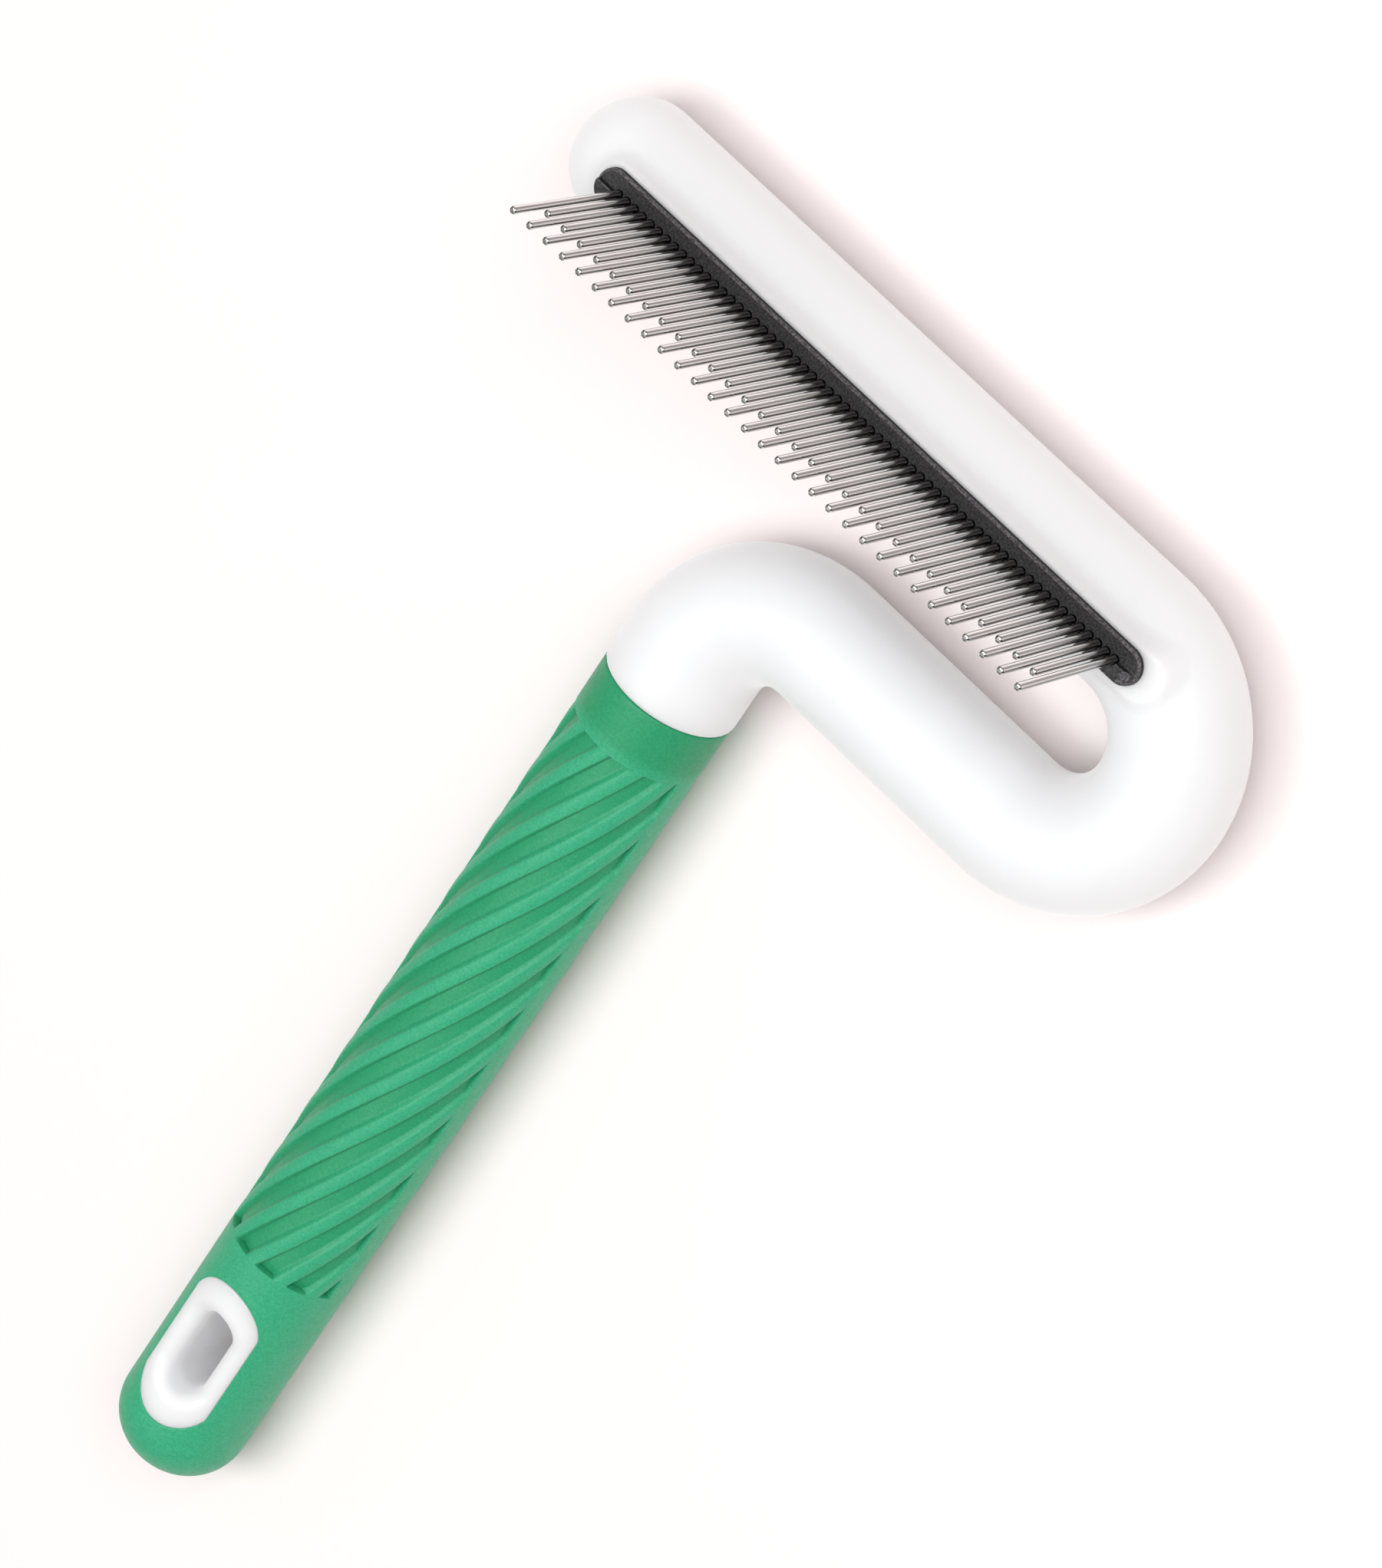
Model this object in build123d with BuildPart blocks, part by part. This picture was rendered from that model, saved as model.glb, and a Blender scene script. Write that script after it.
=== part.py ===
from build123d import *
from math import cos, radians, sin, tan
import os

# Deshedding tool: a tubular frame bent into a head bar and a handle, with a soft grip
# and a row of long and short pins. Millimetres. The tool lies on its back, pins up (+Z),
# with the handle towards -Y and the head bar along X. The origin is at the middle of the
# underside of the whole tool.

# ---------------------------------------------------------------- overall size
tool_length = 204.5
tool_width = 124.7

# ---------------------------------------------------------------- frame tube
tube_r = 9.0
u_radius = 15.5          # centre line of the U-turn between the bar and the return arm
neck_radius = 14.2       # centre line of the bend from the return arm into the handle
handle_x = -9.55         # handle axis
lip_r = 9.75             # swollen end of the white neck, at the collar
lip_round = 0.9
neck_sections = 7
collar_y = 41.3          # where the white neck ends and the grip starts
axis_z = lip_r           # height of the tube's centre line, lying on the lip

# ---------------------------------------------------------------- grip and handle core
grip_r = 9.5
grip_wall = 2.0
grip_end_round = 8.6
core_r = grip_r - grip_wall
core_end_round = 6.8

# ---------------------------------------------------------------- boss and hanging slot
boss_y = -79.75
boss_width = 12.1
boss_length = 24.7
boss_end_rise = 4.7      # height of the arc at each end of the boss
boss_corner_r = 1.6
boss_edge_r = 0.3
slot_width = 7.2         # hanging slot, at its mouths
slot_length = 15.0
slot_draft = 15          # its walls slope in from each mouth down to the throat
slot_throat_depth = 4.0
slot_rim_round = 1.9
slot_throat_round = 3.0

# ---------------------------------------------------------------- pins
pin_d = 1.1
pin_tip_round = 0.32     # rounding round the flat end of each pin
pin_pitch = 1.5
long_count = 31
short_count = long_count - 1
short_group = 2          # short pins in one group
row_x = -3.9             # middle of the row
pin_head_d = 1.34
pin_head_h = 0.8
pin_fit = 0.01           # radial clearance in the carrier's holes
pin_pocket_r = 0.67      # wider mouth of each hole
pin_pocket_depth = 0.5

# ---------------------------------------------------------------- pin carrier and its seat
carrier_length = 97.6
carrier_width = 5.2
carrier_bevel = 0.35
carrier_top = axis_z + 10.28
carrier_bottom = axis_z + 3.6
ridge_height = 0.8
ridge_width = 2.1
ridge_end_x = 44.1       # foot of the ridge's sloping end
ridge_end_slope = 1.1
ridge_round = 0.25
head_gap = 0.02          # play round the pin heads in their groove
retainer_h = 1.2
seat_gap = 0.05
land_top = axis_z + 9.45
land_margin = 0.9        # beside the carrier and at the bar's free end
land_reach = 3.4         # beyond the carrier at the U-turn end
land_depth = 4.0
land_draft = 28
land_round = 0.8
land_blend = 3.0         # soft concave blend from the land into the tube

long_tip = axis_z + 34.28
short_tip = axis_z + 28.45

# ---------------------------------------------------------------- derived places
bar_y = tool_length / 2 - tube_r
bar_x = -tool_width / 2 + tube_r
u_x = tool_width / 2 - tube_r - u_radius
arm_y = bar_y - 2 * u_radius
neck_x = handle_x + neck_radius
neck_y = arm_y - neck_radius
grip_end_y = -tool_length / 2
core_end_y = grip_end_y + grip_wall
retainer_bottom = carrier_bottom - retainer_h
row_length = 2 * pin_pitch * (long_count - 1)
row_start_x = row_x - row_length / 2
land_length = carrier_length + land_margin + land_reach
slot_inset = slot_throat_depth * tan(radians(slot_draft))
throat_width = slot_width - 2 * slot_inset
throat_length = slot_length - 2 * slot_inset
throat_z = grip_r - slot_throat_depth    # height of the throat's ends from the axis
throat_overlap = 0.01

os.makedirs("parts", exist_ok=True)


def save(piece, label):
    piece.part.label = label
    export_step(piece.part, f"parts/{label}.step")


def handle_plane(y):
    """Plane across the handle at y, looking towards the handle's free end."""
    return Plane(origin=(handle_x, y, axis_z), x_dir=(1, 0, 0), z_dir=(0, -1, 0))


# ---------------------------------------------------------------- blanks shared by frame and grip
with BuildPart() as grip_blank:
    with BuildSketch(handle_plane(collar_y)):
        Circle(grip_r)
    extrude(amount=collar_y - grip_end_y)
    fillet(grip_blank.faces().sort_by(Axis.Y)[0].edges(), grip_end_round)

with BuildPart() as core_blank:
    with BuildSketch(handle_plane(collar_y)):
        Circle(core_r)
    extrude(amount=collar_y - core_end_y)
    fillet(core_blank.faces().sort_by(Axis.Y)[0].edges(), core_end_round)

with BuildPart() as boss_prism:
    with BuildSketch(Plane.XY.offset(axis_z)) as boss_outline:
        with BuildLine(Plane.XY) as boss_edge:
            half_w = boss_width / 2
            top_y = boss_y + boss_length / 2
            bottom_y = boss_y - boss_length / 2
            high = top_y - boss_end_rise
            low = bottom_y + boss_end_rise
            left = handle_x - half_w
            right = handle_x + half_w
            Line((right, low), (right, high))
            ThreePointArc((right, high), (handle_x, top_y), (left, high))
            Line((left, high), (left, low))
            ThreePointArc((left, low), (handle_x, bottom_y), (right, low))
        make_face()
        fillet(boss_outline.vertices(), boss_corner_r)
    extrude(amount=2 * grip_r, both=True)

with BuildPart() as boss:
    add(grip_blank.part)
    add(boss_prism.part, mode=Mode.INTERSECT)
    boss_rims = boss.edges().filter_by(
        lambda e: e.bounding_box().max.Z < axis_z - core_r / 2
        or e.bounding_box().min.Z > axis_z + core_r / 2
    )
    fillet(boss_rims, boss_edge_r)


# ---------------------------------------------------------------- frame
def frame_tube():
    """Head bar with its round free end, U-turn and return arm."""
    with BuildPart() as tube:
        with BuildLine(Plane.XY.offset(axis_z)) as spine:
            Line((bar_x, bar_y), (u_x, bar_y))
            CenterArc((u_x, bar_y - u_radius), u_radius, 90, -180)
            Line((u_x, arm_y), (neck_x, arm_y))
        with BuildSketch(Plane(origin=(bar_x, bar_y, axis_z), x_dir=(0, 1, 0), z_dir=(1, 0, 0))):
            Circle(tube_r)
        sweep(path=spine.line)
        with Locations((bar_x, bar_y, axis_z)):
            Sphere(tube_r)
    return tube.part


def frame_neck():
    """Bend from the arm into the handle, swelling from the tube's size to the lip's."""
    with BuildPart() as neck:
        for k in range(neck_sections):
            share = k / (neck_sections - 1)
            angle = radians(90 * share)
            swell = share * share * (3 - 2 * share)
            across = Plane(
                origin=(neck_x - neck_radius * sin(angle), neck_y + neck_radius * cos(angle), axis_z),
                x_dir=(0, 0, 1),
                z_dir=(-cos(angle), -sin(angle), 0),
            )
            with BuildSketch(across):
                Circle(tube_r + (lip_r - tube_r) * swell)
        loft()
        with BuildSketch(handle_plane(neck_y)):
            Circle(lip_r)
        extrude(amount=neck_y - collar_y)
        fillet(neck.faces().sort_by(Axis.Y)[0].edges(), lip_round)
    return neck.part


def slot_edges(frame, low, high):
    """Edges round the hanging slot, between two heights from the handle's axis, on both sides."""
    return frame.edges().filter_by(
        lambda e: abs(e.center().X - handle_x) < slot_width / 2 + 0.3
        and abs(e.center().Y - boss_y) < slot_length / 2 + 0.3
        and low < abs(e.center().Z - axis_z) < high
        and e.bounding_box().size.Z < slot_throat_depth / 2
    )


with BuildPart() as frame:
    add(frame_tube())
    # raised land on the bar, blended softly into the tube
    with BuildSketch(Plane.XY.offset(land_top)):
        with Locations((row_x + (land_reach - land_margin) / 2, bar_y)):
            SlotOverall(land_length, carrier_width + 2 * land_margin)
    extrude(amount=-land_depth, taper=-land_draft)
    fillet(frame.faces().sort_by(Axis.Z)[-1].edges(), land_round)
    land_foot = frame.edges().filter_by(
        lambda e: e.center().Z > axis_z + tube_r / 2
        and e.bounding_box().max.Z < land_top - land_round
    )
    fillet(land_foot, land_blend)
    add(frame_neck())
    add(core_blank.part)
    add(boss.part)
    # seat for the carrier and its retainer
    with BuildSketch(Plane.XY.offset(land_top)):
        with Locations((row_x, bar_y)):
            SlotOverall(carrier_length + 2 * seat_gap, carrier_width + 2 * seat_gap)
    extrude(amount=retainer_bottom - land_top, mode=Mode.SUBTRACT)
    # hanging slot, through the boss: a narrower throat with sloping walls up to each mouth
    for side in (1, -1):
        with BuildSketch(Plane(origin=(handle_x, boss_y, axis_z), z_dir=(0, 0, side))):
            SlotOverall(throat_length, throat_width, rotation=90)
        extrude(amount=throat_z + throat_overlap, mode=Mode.SUBTRACT)
        with BuildSketch(Plane(origin=(handle_x, boss_y, axis_z + side * throat_z), z_dir=(0, 0, side))):
            SlotOverall(throat_length, throat_width, rotation=90)
        extrude(amount=slot_throat_depth + 1, taper=-slot_draft, mode=Mode.SUBTRACT)
    fillet(slot_edges(frame, throat_z + 1, grip_r + 1), slot_rim_round)
    fillet(slot_edges(frame, throat_z - 0.05, throat_z + 0.05), slot_throat_round)
save(frame, "frame")

# ---------------------------------------------------------------- grip
with BuildPart() as grip:
    add(grip_blank.part)
    add(core_blank.part, mode=Mode.SUBTRACT)
    add(boss_prism.part, mode=Mode.SUBTRACT)
save(grip, "grip")

# ---------------------------------------------------------------- pin carrier
# raised ridge along the handle side of the row, with one sloping end
with BuildPart() as ridge:
    with BuildSketch(Plane.XZ.offset(-bar_y)):
        with BuildLine():
            Polyline(
                (row_x - carrier_length / 2, carrier_top - ridge_height),
                (ridge_end_x, carrier_top - ridge_height),
                (ridge_end_x, carrier_top),
                (ridge_end_x - ridge_end_slope, carrier_top + ridge_height),
                (row_x - carrier_length / 2, carrier_top + ridge_height),
                close=True,
            )
        make_face()
    extrude(amount=ridge_width)
    fillet(ridge.faces().sort_by(Axis.Z)[-1].edges(), ridge_round)
    with BuildSketch(Plane.XY.offset(carrier_top - ridge_height)):
        with Locations((row_x, bar_y)):
            SlotOverall(carrier_length - 2 * carrier_bevel, carrier_width - 2 * carrier_bevel)
    extrude(amount=2 * ridge_height, mode=Mode.INTERSECT)

with BuildPart() as pin_carrier:
    with BuildSketch(Plane.XY.offset(carrier_bottom)):
        with Locations((row_x, bar_y)):
            SlotOverall(carrier_length, carrier_width)
    extrude(amount=carrier_top - carrier_bottom)
    chamfer(pin_carrier.faces().sort_by(Axis.Z)[-1].edges(), carrier_bevel)
    add(ridge.part)
    # groove along the back for the pin heads
    with BuildSketch(Plane.XY.offset(carrier_bottom)):
        with Locations((row_x, bar_y)):
            SlotOverall(row_length + pin_head_d + 2 * head_gap, pin_head_d + 2 * head_gap)
    extrude(amount=pin_head_h, mode=Mode.SUBTRACT)
    # pin holes, with a wider mouth round each pin
    for start_z, hole_r in (
        (carrier_bottom, pin_d / 2 + pin_fit),
        (carrier_top - pin_pocket_depth, pin_pocket_r),
    ):
        with BuildSketch(Plane.XY.offset(start_z)):
            with Locations((row_x, bar_y)):
                with GridLocations(pin_pitch, 1, long_count + short_count, 1):
                    Circle(hole_r)
        extrude(amount=carrier_top + ridge_height - start_z, mode=Mode.SUBTRACT)
save(pin_carrier, "pin_carrier")

# ---------------------------------------------------------------- retainer behind the pin heads
with BuildPart() as pin_retainer:
    with BuildSketch(Plane.XY.offset(retainer_bottom)):
        with Locations((row_x, bar_y)):
            SlotOverall(carrier_length, carrier_width)
    extrude(amount=retainer_h)
save(pin_retainer, "pin_retainer")


# ---------------------------------------------------------------- pins
def pin_profile(x, tip_z):
    """Half section of a headed pin with a rounded end, standing at x in the row."""
    r = pin_d / 2
    round_z = tip_z - pin_tip_round
    head_r = pin_head_d / 2
    head_z = carrier_bottom + pin_head_h
    with BuildSketch(Plane(origin=(x, bar_y, 0), x_dir=(1, 0, 0), z_dir=(0, -1, 0))) as half:
        with BuildLine():
            Polyline(
                (r - pin_tip_round, tip_z),
                (0, tip_z),
                (0, carrier_bottom),
                (head_r, carrier_bottom),
                (head_r, head_z),
                (r, head_z),
                (r, round_z),
            )
            RadiusArc((r, round_z), (r - pin_tip_round, tip_z), -pin_tip_round)
        make_face()
    return half.sketch


def add_pin(x, tip_z):
    add(pin_profile(x, tip_z))
    revolve(axis=Axis((x, bar_y, 0), (0, 0, 1)))


for i in range(long_count):
    with BuildPart() as long_pin:
        add_pin(row_start_x + 2 * i * pin_pitch, long_tip)
    save(long_pin, f"long_pin_{i + 1:02d}")

for i in range(short_count // short_group):
    with BuildPart() as short_pins:
        for k in range(short_group):
            add_pin(row_start_x + (2 * (short_group * i + k) + 1) * pin_pitch, short_tip)
    save(short_pins, f"short_pins_{i + 1:02d}")
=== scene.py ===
import math

import bmesh
import bpy
import numpy as np
from mathutils import Matrix, Vector


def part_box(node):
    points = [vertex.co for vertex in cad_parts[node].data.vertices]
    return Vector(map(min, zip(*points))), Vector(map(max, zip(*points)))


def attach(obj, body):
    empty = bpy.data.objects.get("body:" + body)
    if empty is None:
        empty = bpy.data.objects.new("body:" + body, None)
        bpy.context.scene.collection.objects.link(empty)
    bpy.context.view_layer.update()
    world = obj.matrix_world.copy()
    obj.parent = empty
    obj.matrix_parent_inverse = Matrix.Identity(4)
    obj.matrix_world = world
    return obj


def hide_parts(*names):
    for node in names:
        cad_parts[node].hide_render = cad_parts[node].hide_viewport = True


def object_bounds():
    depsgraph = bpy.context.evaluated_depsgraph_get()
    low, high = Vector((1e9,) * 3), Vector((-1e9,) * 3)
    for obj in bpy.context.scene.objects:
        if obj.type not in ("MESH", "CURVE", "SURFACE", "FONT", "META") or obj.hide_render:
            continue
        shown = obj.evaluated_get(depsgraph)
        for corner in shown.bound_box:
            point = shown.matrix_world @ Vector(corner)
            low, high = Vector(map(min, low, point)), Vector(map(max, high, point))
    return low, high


# The looks of the deshedding tool. The CAD frame, pin carrier, retainer and pins keep their shapes
# and get better materials; the grip is replaced by a sleeve with its diagonal ribs.
# Lengths in the sleeve's mesh code are in millimetres, and everything else is in metres.

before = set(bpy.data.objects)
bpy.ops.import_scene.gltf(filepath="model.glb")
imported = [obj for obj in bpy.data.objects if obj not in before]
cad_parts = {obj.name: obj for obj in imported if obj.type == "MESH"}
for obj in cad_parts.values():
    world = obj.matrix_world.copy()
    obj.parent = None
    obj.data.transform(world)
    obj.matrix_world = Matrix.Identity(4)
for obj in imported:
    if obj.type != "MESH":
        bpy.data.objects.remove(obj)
cad_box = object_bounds()
MM = 0.001

# ---------------------------------------------------------------- places read from the CAD
grip_low, grip_high = (Vector(corner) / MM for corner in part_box("grip"))
GRIP_R = (grip_high.x - grip_low.x) / 2
AXIS_X = (grip_high.x + grip_low.x) / 2
AXIS_Z = (grip_high.z + grip_low.z) / 2
COLLAR_Y = grip_high.y
END_Y = grip_low.y
FLOOR_Z = cad_box[0][2]  # in metres

# ---------------------------------------------------------------- materials
NOISE_RANGE = (0.3, 0.7)  # where nearly all of a noise texture's values lie
MIX_A, MIX_B, MIX_RESULT = 6, 7, 2  # a Mix node's colour sockets


class Nodes:
    """Adds nodes to one material and links them."""

    def __init__(self, name):
        self.material = bpy.data.materials.new(name)
        self.material.use_nodes = True
        self.tree = self.material.node_tree
        self.shader = self.tree.nodes["Principled BSDF"]
        self.place = self.add("ShaderNodeTexCoord").outputs["Object"]

    def add(self, kind, **inputs):
        node = self.tree.nodes.new(kind)
        for key, value in inputs.items():
            socket = node.inputs[key.replace("_", " ")]
            if isinstance(value, bpy.types.NodeSocket):
                self.tree.links.new(value, socket)
            else:
                socket.default_value = value
        return node

    def noise(self, scale, detail=2.0, stretch=None):
        """Noise with about one feature per 1/scale metres, stretched along the axes if asked."""
        place = self.place
        if stretch:
            mapping = self.add("ShaderNodeMapping", Vector=place)
            mapping.inputs["Scale"].default_value = stretch
            place = mapping.outputs["Vector"]
        return self.add("ShaderNodeTexNoise", Vector=place, Scale=scale, Detail=detail).outputs["Fac"]

    def spread(self, value, low, high, inside=NOISE_RANGE):
        """Maps a value from the range inside onto low to high."""
        span = {"From_Min": inside[0], "From_Max": inside[1], "To_Min": low, "To_Max": high}
        return self.add("ShaderNodeMapRange", Value=value, **span).outputs["Result"]

    def ramp(self, value, stops):
        """Colour that follows a value through (position, colour) stops."""
        node = self.add("ShaderNodeValToRGB", Fac=value)
        elements = node.color_ramp.elements
        for element, (position, colour) in zip(elements, (stops[0], stops[-1])):
            element.position = position
            element.color = (*colour, 1)
        for position, colour in stops[1:-1]:
            elements.new(position).color = (*colour, 1)
        return node.outputs["Color"]

    def colours(self, value, low, high, inside=NOISE_RANGE):
        """Goes from one colour to another as a noise rises."""
        return self.ramp(value, ((inside[0], low), (inside[1], high)))

    def mix(self, factor, first, second, blend="MIX"):
        """Mixes two colours."""
        node = self.add("ShaderNodeMix")
        node.data_type = "RGBA"
        node.blend_type = blend
        if isinstance(factor, bpy.types.NodeSocket):
            self.tree.links.new(factor, node.inputs["Factor"])
        else:
            node.inputs["Factor"].default_value = factor
        self.tree.links.new(first, node.inputs[MIX_A])
        self.tree.links.new(second, node.inputs[MIX_B])
        return node.outputs[MIX_RESULT]

    def sums(self, operation, *values):
        """Works out one sum with a Math node."""
        node = self.add("ShaderNodeMath")
        node.operation = operation
        for value, socket in zip(values, node.inputs):
            self.tree.links.new(value, socket)
        return node.outputs["Value"]

    def normal(self):
        """The surface's direction, as X, Y and Z."""
        geometry = self.add("ShaderNodeNewGeometry")
        return self.add("ShaderNodeSeparateXYZ", Vector=geometry.outputs["Normal"]).outputs

    def to_shader(self, name, value):
        socket = self.shader.inputs[name]
        if isinstance(value, bpy.types.NodeSocket):
            self.tree.links.new(value, socket)
        else:
            socket.default_value = value

    def bump(self, *layers):
        """Bumps from (height, depth in millimetres) pairs."""
        normal = None
        for height, depth in layers:
            node = self.add("ShaderNodeBump", Height=height, Distance=depth * MM)
            if normal:
                self.tree.links.new(normal, node.inputs["Normal"])
            normal = node.outputs["Normal"]
        self.to_shader("Normal", normal)


def white_plastic():
    """Satin white moulding: even colour, faint flow marks and very fine texture."""
    nodes = Nodes("white_plastic")
    broad = nodes.noise(45, detail=3.0)
    fine = nodes.noise(4200)
    nodes.to_shader("Base Color", nodes.colours(broad, (0.802, 0.811, 0.825), (0.820, 0.829, 0.842)))
    nodes.to_shader("Roughness", nodes.spread(nodes.noise(260, detail=4.0), 0.38, 0.48))
    nodes.to_shader("Sheen Weight", 0.6)
    nodes.to_shader("Sheen Roughness", 0.5)
    nodes.to_shader("Subsurface Weight", 0.7)
    nodes.to_shader("Subsurface Radius", (1.0, 1.0, 1.0))
    nodes.to_shader("Subsurface Scale", 0.005)
    nodes.bump((broad, 0.02), (fine, 0.0016))
    return nodes.material


# The sleeve's mesh attribute: 1 in the channels, where it darkens the green as painted shade, and at
# the collar, where the green is deeper; 0 elsewhere.
SHADE_AND_COLLAR_ATTRIBUTE = "shade_and_collar"


def green_rubber():
    """Matte soft-touch elastomer with a very fine grain and a slightly uneven colour."""
    nodes = Nodes("green_rubber")
    mottle = nodes.noise(160, detail=5.0)
    grain = nodes.noise(2900, detail=4.0)
    open_colour = nodes.colours(grain, (0.016, 0.323, 0.154), (0.036, 0.410, 0.208))
    # the darker green: painted shade in the channels, and the deeper green at the collar
    shade_and_collar_colour = nodes.colours(grain, (0.006, 0.256, 0.106), (0.014, 0.319, 0.136))
    shade_and_collar = nodes.add("ShaderNodeAttribute")
    shade_and_collar.attribute_name = SHADE_AND_COLLAR_ATTRIBUTE
    nodes.to_shader("Base Color", nodes.mix(shade_and_collar.outputs["Fac"], open_colour, shade_and_collar_colour))
    nodes.to_shader("Roughness", nodes.spread(nodes.noise(700, detail=3.0), 0.46, 0.60))
    nodes.to_shader("Specular IOR Level", 0.5)
    nodes.to_shader("Sheen Weight", 0.08)
    nodes.to_shader("Sheen Roughness", 0.45)
    nodes.bump((mottle, 0.02), (grain, 0.022))
    return nodes.material


# How light the black plastic is against how far it faces up. This is painted shade, matched to the
# photo: the bevels are lightest and the upright sides darkest.
BLACK_SHADES = ((0.45, 0.35), (0.55, 2.2), (0.86, 2.2), (0.97, 0.72))


def black_plastic():
    """Charcoal moulding with a spark-eroded texture."""
    nodes = Nodes("black_plastic")
    texture = nodes.noise(5600, detail=3.0)
    grain = nodes.noise(3300, detail=3.0)
    speckle = nodes.colours(grain, (0.019, 0.018, 0.020), (0.071, 0.069, 0.071), (0.40, 0.68))
    shade = nodes.ramp(nodes.normal()["Z"], [(facing, (level,) * 3) for facing, level in BLACK_SHADES])
    nodes.to_shader("Base Color", nodes.mix(1.0, speckle, shade, "MULTIPLY"))
    nodes.to_shader("Roughness", nodes.spread(texture, 0.42, 0.60))
    nodes.to_shader("Specular IOR Level", 0.28)
    nodes.bump((texture, 0.014))
    return nodes.material


# Brightness of the steel against the share of a third of a turn round the pin, starting from -X.
# These are painted reflections, placed for the photo's side of the pins: they stand for what the
# wire mirrors in the photo, which this plain studio doesn't hold. They don't follow the camera.
STEEL_BANDS = (
    (0.0, 0.25),
    (0.05, 0.19),
    (0.14, 0.41),
    (0.24, 0.80),
    (0.36, 0.87),
    (0.47, 0.56),
    (0.56, 0.19),
    (0.66, 0.17),
    (0.72, 0.33),
    (0.78, 0.62),
    (0.87, 0.58),
    (0.94, 0.31),
    (1.0, 0.25),
)
STEEL_TINT = (1, 0.985, 0.965)
BANDS_ROUND = 3.0  # times that the bands repeat round a pin


def pin_steel():
    """Drawn and polished stainless wire, with painted reflections: light and dark bands along the pin.
    """
    nodes = Nodes("pin_steel")
    streaks = nodes.noise(1.0, detail=3.0, stretch=(2600, 2600, 45))
    normal = nodes.normal()
    bearing = nodes.sums("ARCTAN2", normal["Y"], normal["X"])
    repeats = nodes.spread(bearing, 0.0, BANDS_ROUND, (-math.pi, math.pi))
    wobble = nodes.spread(streaks, -0.03, 0.03)
    place = nodes.sums("FRACT", nodes.sums("ADD", repeats, wobble))
    stops = [(share, [level * tint for tint in STEEL_TINT]) for share, level in STEEL_BANDS]
    nodes.to_shader("Metallic", 1.0)
    nodes.to_shader("Base Color", nodes.ramp(place, stops))
    nodes.to_shader("Roughness", nodes.spread(streaks, 0.12, 0.22))
    nodes.bump((streaks, 0.003))
    return nodes.material


def dress(names, material):
    """Gives CAD nodes the material in all their slots."""
    for name in names:
        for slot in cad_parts[name].material_slots:
            slot.material = material


pins = [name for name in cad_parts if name.startswith(("long_pin", "short_pins"))]
white = white_plastic()
green = green_rubber()
black = black_plastic()
dress(pins, pin_steel())
dress(["frame"], white)
dress(["pin_carrier", "pin_retainer"], black)

# ---------------------------------------------------------------- grip sleeve, with its ribs
WALL = 2.0              # sleeve wall
PANEL_TOP = 33.1        # ribbed panel, along the handle
PANEL_BOTTOM = -61.8
PANEL_HALF = math.radians(76) * GRIP_R  # half its width, measured round the sleeve
RIB_PITCH = 10.2        # between rib centres, along the handle
RIB_RISE = 1.95         # along the handle for each millimetre round it
RIB_START = 21.10       # a rib's centre where it crosses the panel's middle
RIB_STEEP = (0.85, 0.36)   # half a rib's top and the width of its flank, on the round end's side
RIB_GENTLE = (0.72, 0.85)  # the same on the collar's side
RIB_CROWN = 0.09        # how far a rib's top falls towards its flanks
RIB_DEPTH = 0.84        # of the channels, at their deepest, by the steep flanks
CHANNEL_RISE = 0.15     # share of that depth that a channel's floor has lost by the gentle flank
ACROSS = RIB_PITCH / math.hypot(1, RIB_RISE)  # between rib centres, square to the ribs
CHANNEL_START = sum(RIB_GENTLE)  # of a channel's floor, from the middle of a rib
CHANNEL_WIDTH = ACROSS - sum(RIB_GENTLE) - sum(RIB_STEEP)
END_WALL = 0.14         # width of the walls round a panel
END_WALL_LIP = (0.10, 0.85)  # a point on those walls: how far out, and what share of the depth is gone
POCKET_DEPTH = 0.45     # extra depth of each channel at its end towards the boss
POCKET_LENGTH = 1.1
EDGE_R = 0.24           # rounding of the window's edge and of the collar
DOME_R = 8.6            # rounding of the closed end
WINDOW_Y = -79.75       # middle of the window for the boss
WINDOW_WIDTH = 12.1
WINDOW_LENGTH = 24.7
WINDOW_RISE = 4.7       # height of the arc at each end of the window
OUTLINE_STEPS = 720     # steps of the outline, once round the window
WINDOW_BLEND = 15       # how many of them the rounding of a corner is averaged over
WINDOW_SINK = 1.4       # how far the window's sides go on below that rounding
HALF_ROUND = math.pi * GRIP_R  # half way round the sleeve
BORDER_HALF = math.radians(60) * GRIP_R  # rectangle round the window: half its width, round the sleeve
BORDER_TOP = -63.4
BORDER_BOTTOM = END_Y + DOME_R
COLLAR_FADE = 2.5       # length over which the colour deepens above the panels
TOP_SHARES = (0.35, 0.7, 0.9)  # rows of points on half of a rib's top
FLANK_STEPS = 8         # faces across a rib's flank
STEP = 0.28             # longest side of the mesh's faces round the sleeve
SHARP = 38              # edges that turn by more than this many degrees stay sharp
MERGE = 2e-6            # points nearer than this, in metres, become one


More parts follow.
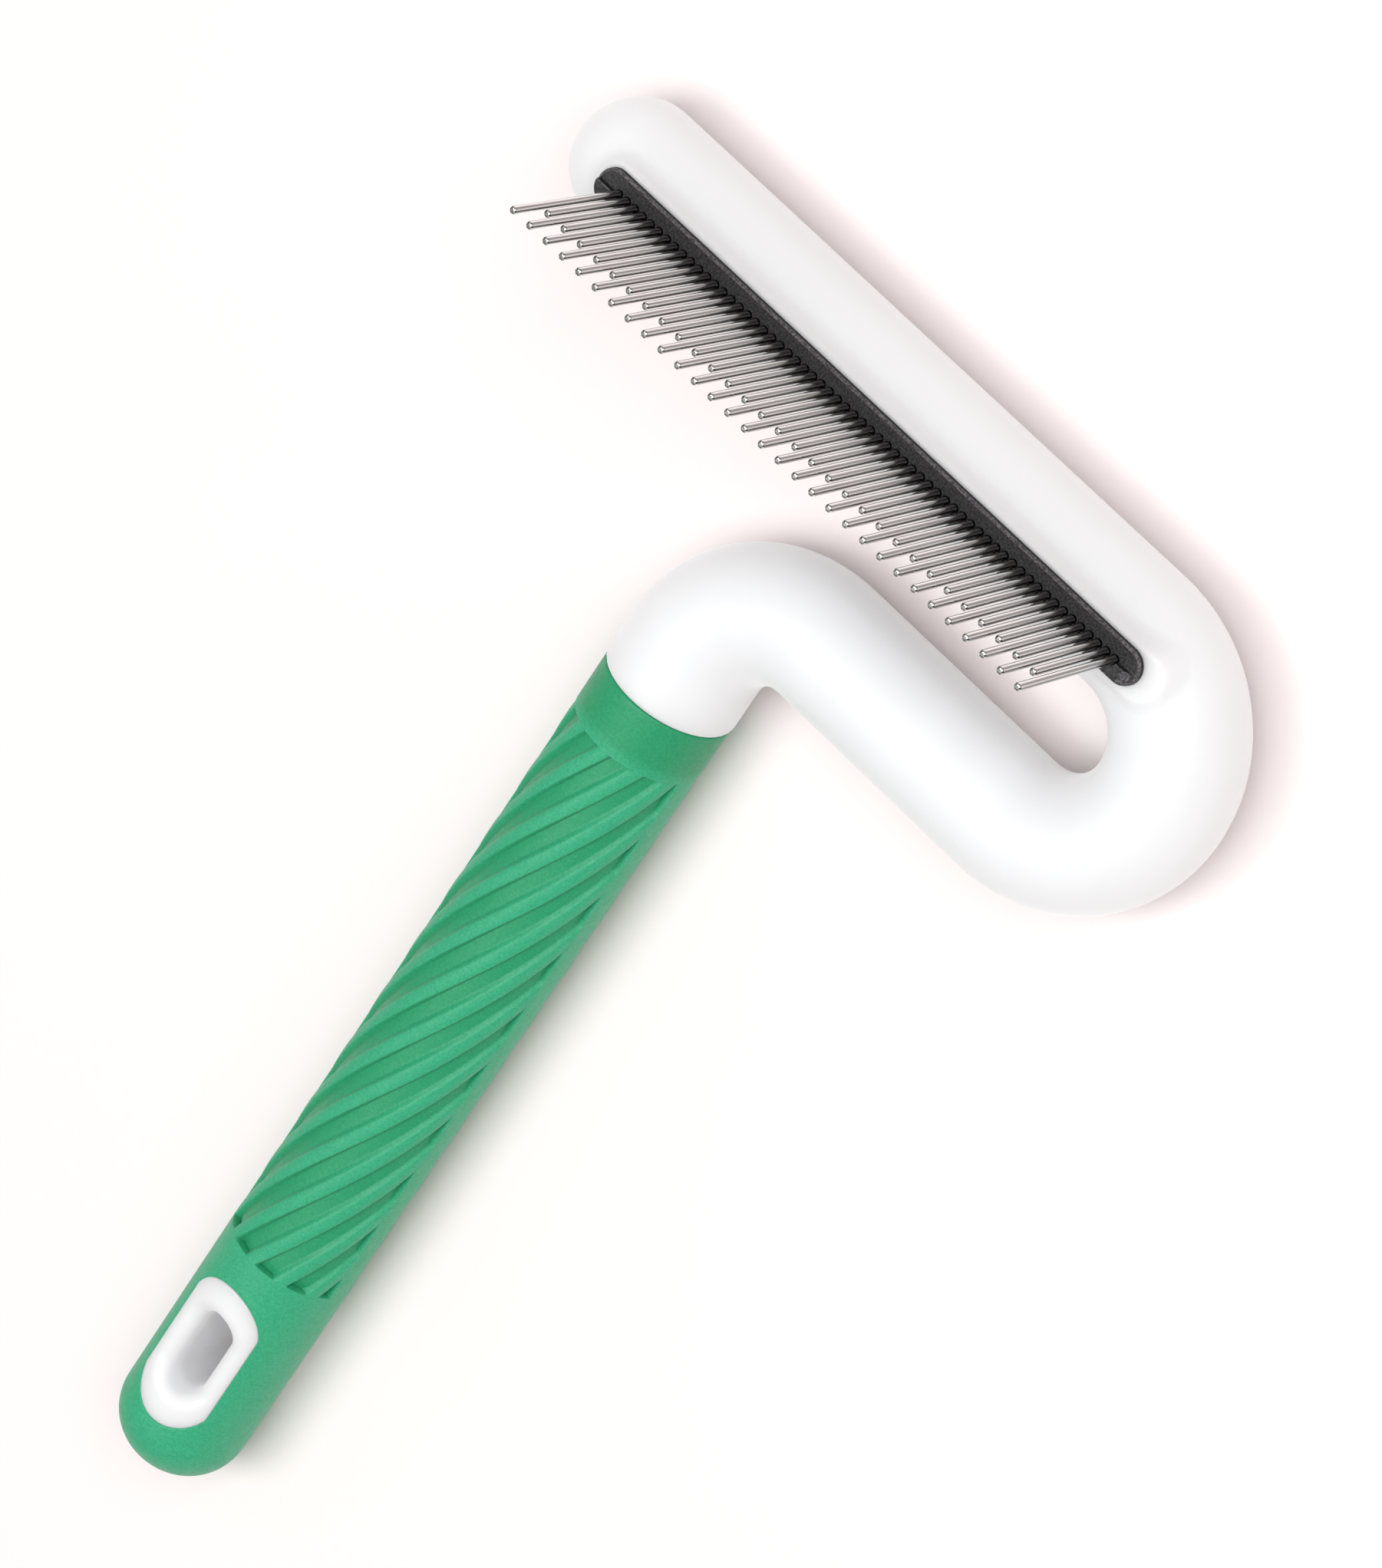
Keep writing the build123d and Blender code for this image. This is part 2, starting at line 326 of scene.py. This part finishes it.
class Sheet:
    """Collects grids of points into one mesh."""

    def __init__(self):
        self.points = []
        self.faces = []

    def grid(self, points):
        """Rows of (x, y, z) points, all the same length; faces join neighbours."""
        rows, columns = len(points), len(points[0])
        start = len(self.points)
        for row in points:
            self.points.extend(row)
        for i in range(rows - 1):
            for j in range(columns - 1):
                corner = start + i * columns + j
                self.faces.append((corner, corner + 1, corner + columns + 1, corner + columns))

    def rings(self, rings):
        """Rings round the whole sleeve, from (y, depth below its surface) pairs."""
        full = spaced(0, 2 * HALF_ROUND, STEP)
        self.grid([[on_sleeve(around, y, depth) for y, depth in rings] for around in full])

    def build(self, name):
        mesh = bpy.data.meshes.new(name)
        mesh.from_pydata([Vector(p) * MM for p in self.points], [], self.faces)
        shape = bmesh.new()
        shape.from_mesh(mesh)
        bmesh.ops.remove_doubles(shape, verts=shape.verts, dist=MERGE)
        bmesh.ops.dissolve_degenerate(shape, dist=MERGE / 2, edges=shape.edges)
        bmesh.ops.recalc_face_normals(shape, faces=shape.faces)
        for face in shape.faces:
            face.smooth = True
        shape.to_mesh(mesh)
        shape.free()
        mesh.set_sharp_from_angle(angle=math.radians(SHARP))
        piece = bpy.data.objects.new(name, mesh)
        bpy.context.scene.collection.objects.link(piece)
        return piece


def on_sleeve(around, y, depth=0.0):
    """Point on the sleeve: around is measured from +Z towards +X, in mm of arc."""
    angle = around / GRIP_R
    r = GRIP_R - depth
    return (AXIS_X + r * math.sin(angle), y, AXIS_Z + r * math.cos(angle))


def quarter_round(radius, degrees):
    """How far in from the side, and how far below the top, a rounded edge is at each angle."""
    angles = [math.radians(angle) for angle in degrees]
    return [(radius * (1 - math.cos(angle)), radius * (1 - math.sin(angle))) for angle in angles]


def smooth_step(value):
    """0 to 1 with level ends."""
    value = min(max(value, 0.0), 1.0)
    return value * value * (3 - 2 * value)


def rib_depth(around, y):
    """How far the surface lies below the smooth bands, inside a ribbed panel."""
    turns = (y - RIB_START - RIB_RISE * around) / RIB_PITCH
    across = (turns - round(turns)) * ACROSS
    half, flank = RIB_GENTLE if across > 0 else RIB_STEEP
    sunk = smooth_step((abs(across) - half) / flank)
    crown = RIB_CROWN * min(abs(across) / half, 1.0) ** 2
    pocket = POCKET_DEPTH * smooth_step((PANEL_BOTTOM + POCKET_LENGTH - y) / POCKET_LENGTH)
    way = min(max((across % ACROSS - CHANNEL_START) / CHANNEL_WIDTH, 0.0), 1.0)
    channel = RIB_DEPTH * (1 - CHANNEL_RISE * (1 - way))
    return crown * (1 - sunk) + (channel + pocket) * sunk


def spaced(start, stop, step):
    """Evenly spaced values from start to stop, both included, no further apart than step."""
    return np.linspace(start, stop, max(2, math.ceil(abs(stop - start) / step) + 1)).tolist()


def rib_offsets():
    """Places across one rib and half of the channel on each side of it."""
    offsets = [0.0]
    for sign, (half, flank) in ((-1, RIB_STEEP), (1, RIB_GENTLE)):
        steps = [half * share for share in TOP_SHARES]
        steps += [half + flank * k / FLANK_STEPS for k in range(FLANK_STEPS + 1)]
        steps += spaced(half + flank, ACROSS / 2, step=0.3)[1:]
        offsets += [sign * step for step in steps]
    return sorted(offsets)[1:]  # the first is the last of the rib before


def ribbed_panel(sheet, side):
    """One panel; its rows run along the ribs, so that their flanks stay clean."""
    reach = RIB_RISE * PANEL_HALF
    first = math.floor((PANEL_BOTTOM - reach - RIB_START) / RIB_PITCH)
    last = math.ceil((PANEL_TOP + reach - RIB_START) / RIB_PITCH)
    rows = [
        RIB_START + k * RIB_PITCH + offset / ACROSS * RIB_PITCH
        for k in range(first, last + 1)
        for offset in rib_offsets()
    ]
    # the walls round the panel: how far out each point is, and the share of the depth left there
    wall = [(END_WALL_LIP[0], 1 - END_WALL_LIP[1]), (END_WALL, 0.0)]
    inside = spaced(-PANEL_HALF, PANEL_HALF, STEP)
    columns = [(inside[0] - out, inside[0], left) for out, left in wall[::-1]]
    columns += [(place, place, 1.0) for place in inside]
    columns += [(inside[-1] + out, inside[-1], left) for out, left in wall]
    points = []
    for place, source, share in columns:
        bottom = rib_depth(source, PANEL_BOTTOM) * share
        top = rib_depth(source, PANEL_TOP) * share
        column = [(PANEL_BOTTOM - out, bottom * left) for out, left in wall[::-1]]
        for row in rows:
            y = min(max(row + RIB_RISE * source, PANEL_BOTTOM), PANEL_TOP)
            column.append((y, rib_depth(source, y) * share))
        column += [(PANEL_TOP + out, top * left) for out, left in wall]
        points.append([on_sleeve(place + side * HALF_ROUND, y, depth) for y, depth in column])
    sheet.grid(points)


def outline_radius():
    """The window's outline about its centre: polar angles and radii."""
    half_width = WINDOW_WIDTH / 2
    half_length = WINDOW_LENGTH / 2
    arc_radius = (half_width**2 + WINDOW_RISE**2) / (2 * WINDOW_RISE)
    centre = half_length - arc_radius
    corner = math.atan2(half_length - WINDOW_RISE, half_width)
    angles = np.linspace(0, 2 * math.pi, OUTLINE_STEPS + 1)
    radii = []
    for angle in angles:
        across, along = abs(math.cos(angle)), abs(math.sin(angle))
        if math.atan2(along, across) < corner:
            radii.append(half_width / across)
        else:
            radii.append(centre * along + math.sqrt(arc_radius**2 - (centre * across) ** 2))
    # round the corners where a side meets an end's arc; the ring laps over itself at its start
    lap = WINDOW_BLEND
    ring = np.concatenate([radii[-lap - 1 : -1], radii, radii[1 : lap + 1]])
    weights = np.hanning(WINDOW_BLEND)
    return angles, np.convolve(ring, weights / weights.sum(), mode="same")[lap:-lap]


def window_patch(sheet, side, columns, rows):
    """The sleeve between the window and the rectangle round it, with the window's own sides."""
    angles, radii = outline_radius()
    # once round the rectangle: places round the sleeve and along it
    border = [(around, rows[0]) for around in columns[:-1]]
    border += [(columns[-1], y) for y in rows[:-1]]
    border += [(around, rows[-1]) for around in columns[:0:-1]]
    border += [(columns[0], y) for y in rows[:0:-1]]
    border.append(border[0])
    # up the side and over its rounded edge: distance beyond the outline, depth below the sleeve
    edge = [(0.0, EDGE_R + WINDOW_SINK), (0.0, EDGE_R + WINDOW_SINK / 2)]
    edge += quarter_round(EDGE_R, (0, 22, 45, 67, 90))
    sign = 1 - 2 * side
    points = []
    for around, y in border:
        border_x = GRIP_R * math.sin(around / GRIP_R)
        border_y = y - WINDOW_Y
        angle = math.atan2(border_y, border_x) % (2 * math.pi)
        outline = float(np.interp(angle, angles, radii))
        line = [(outline + out, depth) for out, depth in edge]
        start = outline + EDGE_R
        way = math.hypot(border_x, border_y) - start
        line += [(start + way * share, 0.0) for share in (0.12, 0.3, 0.5, 0.75)]
        column = []
        for distance, depth in line:
            x = distance * math.cos(angle)
            z = math.sqrt(GRIP_R**2 - x**2) - depth
            column.append((x, WINDOW_Y + distance * math.sin(angle), z))
        column.append((border_x, y, GRIP_R * math.cos(around / GRIP_R)))
        points.append([(AXIS_X + sign * x, y, AXIS_Z + sign * z) for x, y, z in column])
    sheet.grid(points)


def grip_sleeve():
    """The sleeve, the same size as the CAD's grip, with its ribs and windows on both sides."""
    sheet = Sheet()
    panel_edge = PANEL_HALF + END_WALL
    for side in (0, 1):
        shift = side * HALF_ROUND
        ribbed_panel(sheet, side)
        # smooth strips between the panels
        rows = spaced(PANEL_BOTTOM - END_WALL, PANEL_TOP + END_WALL, step=2.0)
        strip = spaced(panel_edge, HALF_ROUND - panel_edge, STEP)
        sheet.grid([[on_sleeve(around + shift, y) for y in rows] for around in strip])
        # window and the bands beside it
        rows = spaced(BORDER_BOTTOM, BORDER_TOP, step=0.35)
        window_patch(sheet, side, spaced(-BORDER_HALF, BORDER_HALF, STEP), rows)
        beside = spaced(BORDER_HALF, HALF_ROUND - BORDER_HALF, STEP)
        sheet.grid([[on_sleeve(around + shift, y) for y in rows] for around in beside])
    # band between the panels and the windows
    sheet.rings([(y, 0.0) for y in spaced(BORDER_TOP, PANEL_BOTTOM - END_WALL, step=0.5)])
    # band at the collar, rounded at its end and closed inwards
    rings = [(y, 0.0) for y in spaced(PANEL_TOP + END_WALL, COLLAR_Y - EDGE_R, step=1.0)]
    rings += [(COLLAR_Y - below, depth) for depth, below in quarter_round(EDGE_R, range(15, 91, 15))]
    rings.append((COLLAR_Y, WALL))
    sheet.rings(rings)
    # round end
    rings = [(END_Y + above, depth) for depth, above in quarter_round(DOME_R, range(0, 91, 3))]
    rings.append((END_Y, GRIP_R))
    sheet.rings(rings)
    return sheet.build("grip_sleeve")


sleeve = grip_sleeve()
sleeve.data.materials.append(green)
# painted shade: the deeper a point lies in a channel, the darker its green; the collar's green is
# deeper
shade_and_collar = sleeve.data.attributes.new(SHADE_AND_COLLAR_ATTRIBUTE, "FLOAT", "POINT")
for vertex, value in zip(sleeve.data.vertices, shade_and_collar.data):
    x, y, z = vertex.co / MM
    sunk = GRIP_R - math.hypot(x - AXIS_X, z - AXIS_Z)
    if y > PANEL_TOP:
        value.value = smooth_step((y - PANEL_TOP) / COLLAR_FADE)
    elif y > PANEL_BOTTOM - END_WALL:
        value.value = min(max(sunk / RIB_DEPTH, 0.0), 1.0)
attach(sleeve, "root")
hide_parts("grip")

# ---------------------------------------------------------------- floor
FLOOR_HALF = 4.0
corners = [(x * FLOOR_HALF, y * FLOOR_HALF, FLOOR_Z) for x, y in ((-1, -1), (1, -1), (1, 1), (-1, 1))]
floor_mesh = bpy.data.meshes.new("floor")
floor_mesh.from_pydata(corners, [], [(0, 1, 2, 3)])
floor = bpy.data.objects.new("floor", floor_mesh)
bpy.context.scene.collection.objects.link(floor)
paper = Nodes("floor_paper")
paper_colour = paper.colours(paper.noise(30, detail=3.0), (0.902, 0.840, 0.833), (0.907, 0.845, 0.838))
paper.to_shader("Base Color", paper_colour)
paper.to_shader("Roughness", 0.9)
paper.to_shader("Specular IOR Level", 0.1)
floor_mesh.materials.append(paper.material)

# ---------------------------------------------------------------- light
DOME_COLOUR = (1.0, 0.965, 0.945, 1)
DOME_STRENGTH = 0.38
LAMP_DISTANCE = 1.6
COOL = (0.975, 0.99, 1.0)
NEUTRAL = (1.0, 0.985, 0.975)
world = bpy.data.worlds.new("studio")
bpy.context.scene.world = world
world.use_nodes = True
background = world.node_tree.nodes["Background"]
background.inputs["Color"].default_value = DOME_COLOUR
background.inputs["Strength"].default_value = DOME_STRENGTH


def softbox(name, direction, size, power, colour):
    """Square area light that shines at the middle of the tool."""
    lamp = bpy.data.lights.new(name, "AREA")
    lamp.shape = "SQUARE"
    lamp.size = size
    lamp.energy = power
    lamp.color = colour
    place = Vector(direction).normalized() * LAMP_DISTANCE
    holder = bpy.data.objects.new(name, lamp)
    holder.location = place
    holder.rotation_euler = (-place).to_track_quat("-Z", "Y").to_euler()
    bpy.context.scene.collection.objects.link(holder)


softbox("key", (-0.55, -0.25, 2.1), size=0.6, power=5.5, colour=COOL)
softbox("overhead", (0.05, 0.05, 2.1), size=1.0, power=9.7, colour=COOL)
softbox("fill", (0.34, 0.49, 0.80), size=1.0, power=11.2, colour=NEUTRAL)

# ---------------------------------------------------------------- camera
AZIMUTH = math.radians(55.36)    # direction of the camera, from +X towards +Y
ELEVATION = math.radians(55.89)
ROLL = math.radians(-106.0)      # turn of the camera about its own line of sight
DISTANCE = 0.886
TARGET = Vector((0.0003, 0.0335, 0.00975))
SENSOR = 36
FOCAL_LENGTH = 156.67
flat = math.cos(ELEVATION)
back = Vector((flat * math.cos(AZIMUTH), flat * math.sin(AZIMUTH), math.sin(ELEVATION)))
level = Vector((-math.sin(AZIMUTH), math.cos(AZIMUTH), 0))
upright = back.cross(level)
right = level * math.cos(ROLL) + upright * math.sin(ROLL)
up = back.cross(right)
lens = bpy.data.cameras.new("camera")
lens.sensor_width = SENSOR
lens.lens = FOCAL_LENGTH
lens.clip_start = 0.05
lens.clip_end = 20
camera = bpy.data.objects.new("camera", lens)
facing = Matrix((right, up, back)).transposed()
camera.matrix_world = Matrix.Translation(TARGET + back * DISTANCE) @ facing.to_4x4()
bpy.context.scene.collection.objects.link(camera)
bpy.context.scene.camera = camera
bpy.context.scene.view_settings.view_transform = "Standard"
